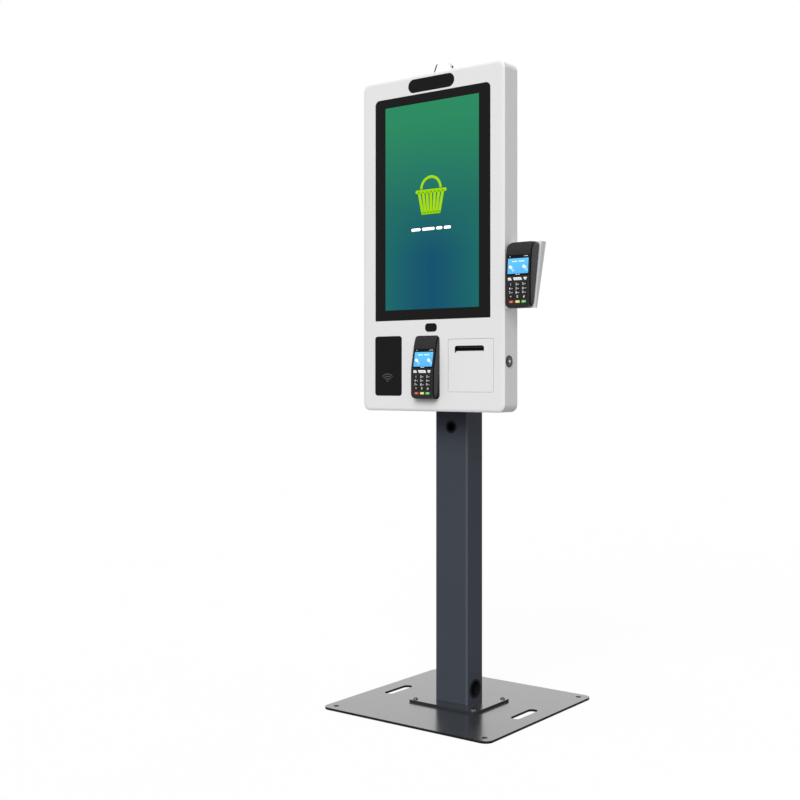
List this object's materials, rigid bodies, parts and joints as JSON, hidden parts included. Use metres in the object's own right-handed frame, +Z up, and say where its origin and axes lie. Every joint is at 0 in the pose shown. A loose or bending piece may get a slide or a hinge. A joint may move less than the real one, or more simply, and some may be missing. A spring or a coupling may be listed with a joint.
{
  "type": "self checkout kiosk",
  "caption": "Slim touch-screen self checkout head with printer, reader panel and payment terminals on a rectangular column with a square base plate.",
  "frame": {"origin": "centre of the base plate's underside, on the floor, on the column's centre line", "axes": "+Z up, -Y out of the screen towards the customer, +X to the right as the customer sees it"},
  "size_m": [0.5595, 0.51, 1.661],
  "materials": {
    "plate_coating": "smooth semi-gloss powder coat",
    "column_paint": "fine satin powder coat, anthracite",
    "zinc_steel": "bright zinc plate",
    "black_rubber": "moulded rubber",
    "black_plastic": "fine-grained moulded plastic",
    "white_enamel": "smooth satin enamel, white",
    "pale_grey_enamel": "smooth satin enamel, pale grey",
    "touch_glass": "strengthened glass with a black printed border",
    "bright_sheet": "plain sheet",
    "lcd_stack": "backlight housing",
    "black_window": "gloss acrylic",
    "circuit_board": "solder mask",
    "printer_plastic": "moulded plastic",
    "paper": "plain white paper",
    "black_metal": "black plated die casting",
    "chrome": "polished",
    "lamp_diffuser": "frosted white diffuser",
    "terminal_plastic": "fine-grained moulded plastic",
    "terminal_display": "backlit display window",
    "key_white": "moulded silicone",
    "key_dark": "moulded silicone",
    "key_red": "moulded silicone",
    "key_yellow": "moulded silicone",
    "key_green": "moulded silicone"
  },
  "bodies": {
    "kiosk": {"base_plate": "plate_coating", "column": "column_paint", "flange_bolts": "zinc_steel", "cable_grommets": "black_rubber", "column_cap": "black_plastic", "head_bracket": "column_paint", "bracket_bolts": "zinc_steel", "front_housing": "white_enamel", "rear_cover": "white_enamel", "housing_screws": "zinc_steel", "touch_glass": "touch_glass", "display_frame": "bright_sheet", "lcd_panel": "lcd_stack", "camera_window": "black_window", "camera_module": "circuit_board", "scanner_window": "black_window", "scanner_module": "circuit_board", "reader_panel": "black_window", "reader_board": "circuit_board", "door_pins": "zinc_steel", "printer_body": "printer_plastic", "lock_barrel": "black_metal", "status_lamp": "lamp_diffuser", "lamp_caps": "black_plastic", "main_board": "circuit_board", "power_supply": "bright_sheet", "loudspeakers": "black_plastic", "terminal_cradle": "black_plastic", "side_bracket": "pale_grey_enamel", "front_terminal_case": "terminal_plastic", "front_terminal_display": "terminal_display", "front_terminal_board": "circuit_board", "side_terminal_case": "terminal_plastic", "side_terminal_display": "terminal_display", "side_terminal_board": "circuit_board"},
    "door": {"printer_door": "white_enamel", "slot_insert": "black_plastic"},
    "lock": {"lock_cam": "chrome"},
    "platen": {"platen_roller": "black_rubber"},
    "roll": {"paper_roll": "paper"},
    "front_function_key_left": {"front_function_key_left": "key_white"},
    "front_function_key_middle": {"front_function_key_middle": "key_white"},
    "front_function_key_right": {"front_function_key_right": "key_white"},
    "front_number_row_1": {"front_number_row_1": "key_dark"},
    "front_number_row_2": {"front_number_row_2": "key_dark"},
    "front_number_row_3": {"front_number_row_3": "key_dark"},
    "front_number_row_4": {"front_number_row_4": "key_dark"},
    "front_red_key": {"front_red_key": "key_red"},
    "front_yellow_key": {"front_yellow_key": "key_yellow"},
    "front_green_key": {"front_green_key": "key_green"},
    "side_function_key_left": {"side_function_key_left": "key_white"},
    "side_function_key_middle": {"side_function_key_middle": "key_white"},
    "side_function_key_right": {"side_function_key_right": "key_white"},
    "side_number_row_1": {"side_number_row_1": "key_dark"},
    "side_number_row_2": {"side_number_row_2": "key_dark"},
    "side_number_row_3": {"side_number_row_3": "key_dark"},
    "side_number_row_4": {"side_number_row_4": "key_dark"},
    "side_red_key": {"side_red_key": "key_red"},
    "side_yellow_key": {"side_yellow_key": "key_yellow"},
    "side_green_key": {"side_green_key": "key_green"}
  },
  "joints": [
    {"name": "door_hinge", "type": "hinge", "parent": "kiosk", "child": "door", "pos_m": [0.066, -0.1215, 0.885], "axis": [0, 0, -1], "range_deg": [0, 100]},
    {"name": "lock_turn", "type": "hinge", "parent": "kiosk", "child": "lock", "pos_m": [0.22, -0.1065, 0.8945], "axis": [-1, 0, 0], "range_deg": [0, 90]},
    {"name": "platen_spin", "type": "hinge", "parent": "kiosk", "child": "platen", "pos_m": [0.117, -0.106, 0.92525], "axis": [1, 0, 0], "continuous": true},
    {"name": "roll_spin", "type": "hinge", "parent": "kiosk", "child": "roll", "pos_m": [0.117, -0.0815, 0.84925], "axis": [1, 0, 0], "continuous": true},
    {"name": "front_function_key_left_press", "type": "slide", "parent": "kiosk", "child": "front_function_key_left", "axis": [0, 1, 0], "range_m": [0, 0.0012], "stiffness_N_per_m": 500},
    {"name": "front_function_key_middle_press", "type": "slide", "parent": "kiosk", "child": "front_function_key_middle", "axis": [0, 1, 0], "range_m": [0, 0.0012], "stiffness_N_per_m": 500},
    {"name": "front_function_key_right_press", "type": "slide", "parent": "kiosk", "child": "front_function_key_right", "axis": [0, 1, 0], "range_m": [0, 0.0012], "stiffness_N_per_m": 500},
    {"name": "front_number_row_1_press", "type": "slide", "parent": "kiosk", "child": "front_number_row_1", "axis": [0, 1, 0], "range_m": [0, 0.0012], "stiffness_N_per_m": 1500},
    {"name": "front_number_row_2_press", "type": "slide", "parent": "kiosk", "child": "front_number_row_2", "axis": [0, 1, 0], "range_m": [0, 0.0012], "stiffness_N_per_m": 1500},
    {"name": "front_number_row_3_press", "type": "slide", "parent": "kiosk", "child": "front_number_row_3", "axis": [0, 1, 0], "range_m": [0, 0.0012], "stiffness_N_per_m": 1500},
    {"name": "front_number_row_4_press", "type": "slide", "parent": "kiosk", "child": "front_number_row_4", "axis": [0, 1, 0], "range_m": [0, 0.0012], "stiffness_N_per_m": 1500},
    {"name": "front_red_key_press", "type": "slide", "parent": "kiosk", "child": "front_red_key", "axis": [0, 1, 0], "range_m": [0, 0.0012], "stiffness_N_per_m": 500},
    {"name": "front_yellow_key_press", "type": "slide", "parent": "kiosk", "child": "front_yellow_key", "axis": [0, 1, 0], "range_m": [0, 0.0012], "stiffness_N_per_m": 500},
    {"name": "front_green_key_press", "type": "slide", "parent": "kiosk", "child": "front_green_key", "axis": [0, 1, 0], "range_m": [0, 0.0012], "stiffness_N_per_m": 500},
    {"name": "side_function_key_left_press", "type": "slide", "parent": "kiosk", "child": "side_function_key_left", "axis": [0, 1, 0], "range_m": [0, 0.0012], "stiffness_N_per_m": 500},
    {"name": "side_function_key_middle_press", "type": "slide", "parent": "kiosk", "child": "side_function_key_middle", "axis": [0, 1, 0], "range_m": [0, 0.0012], "stiffness_N_per_m": 500},
    {"name": "side_function_key_right_press", "type": "slide", "parent": "kiosk", "child": "side_function_key_right", "axis": [0, 1, 0], "range_m": [0, 0.0012], "stiffness_N_per_m": 500},
    {"name": "side_number_row_1_press", "type": "slide", "parent": "kiosk", "child": "side_number_row_1", "axis": [0, 1, 0], "range_m": [0, 0.0012], "stiffness_N_per_m": 1500},
    {"name": "side_number_row_2_press", "type": "slide", "parent": "kiosk", "child": "side_number_row_2", "axis": [0, 1, 0], "range_m": [0, 0.0012], "stiffness_N_per_m": 1500},
    {"name": "side_number_row_3_press", "type": "slide", "parent": "kiosk", "child": "side_number_row_3", "axis": [0, 1, 0], "range_m": [0, 0.0012], "stiffness_N_per_m": 1500},
    {"name": "side_number_row_4_press", "type": "slide", "parent": "kiosk", "child": "side_number_row_4", "axis": [0, 1, 0], "range_m": [0, 0.0012], "stiffness_N_per_m": 1500},
    {"name": "side_red_key_press", "type": "slide", "parent": "kiosk", "child": "side_red_key", "axis": [0, 1, 0], "range_m": [0, 0.0012], "stiffness_N_per_m": 500},
    {"name": "side_yellow_key_press", "type": "slide", "parent": "kiosk", "child": "side_yellow_key", "axis": [0, 1, 0], "range_m": [0, 0.0012], "stiffness_N_per_m": 500},
    {"name": "side_green_key_press", "type": "slide", "parent": "kiosk", "child": "side_green_key", "axis": [0, 1, 0], "range_m": [0, 0.0012], "stiffness_N_per_m": 500}
  ]
}
